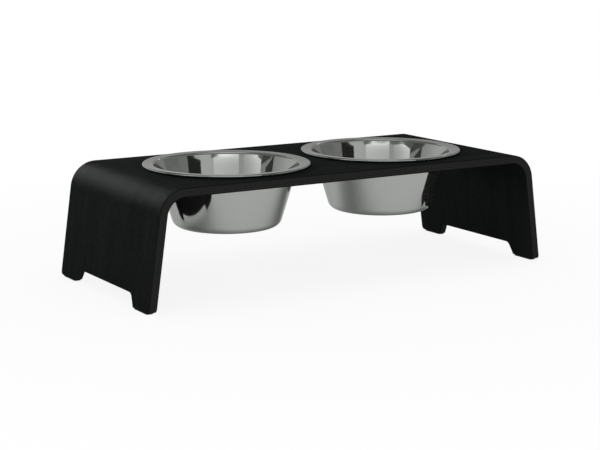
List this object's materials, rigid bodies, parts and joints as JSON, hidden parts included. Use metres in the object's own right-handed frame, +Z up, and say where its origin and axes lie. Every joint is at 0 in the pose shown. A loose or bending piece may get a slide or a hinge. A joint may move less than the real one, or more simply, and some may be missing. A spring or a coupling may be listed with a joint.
{
  "type": "dog feeding station",
  "caption": "Raised dog feeding station: a low bridge of black moulded plywood on splayed legs, with steel bowls hanging by their rims in round holes.",
  "frame": {"origin": "on the floor, under the middle of the panel", "axes": "+X along the panel, from the left bowl to the right; +Y to the rear; +Z up"},
  "size_m": [0.5594, 0.24, 0.1432],
  "materials": {
    "black_veneer": "black stained, satin",
    "plywood_edge": "black stained edge, satin",
    "polished_steel": "polished stainless steel",
    "rubber": "matt"
  },
  "bodies": {
    "stand": {"plywood_core": "plywood_edge", "outer_face_veneer": "black_veneer", "inner_face_veneer": "black_veneer", "front_left_foot_pad": "rubber", "front_right_foot_pad": "rubber", "rear_left_foot_pad": "rubber", "rear_right_foot_pad": "rubber"},
    "left_bowl": {"left_bowl": "polished_steel"},
    "right_bowl": {"right_bowl": "polished_steel"}
  },
  "joints": [
    {"name": "left_bowl_lift", "type": "slide", "parent": "stand", "child": "left_bowl", "axis": [0, 0, 1], "range_m": [0, 0.1]},
    {"name": "right_bowl_lift", "type": "slide", "parent": "stand", "child": "right_bowl", "axis": [0, 0, 1], "range_m": [0, 0.1]}
  ]
}
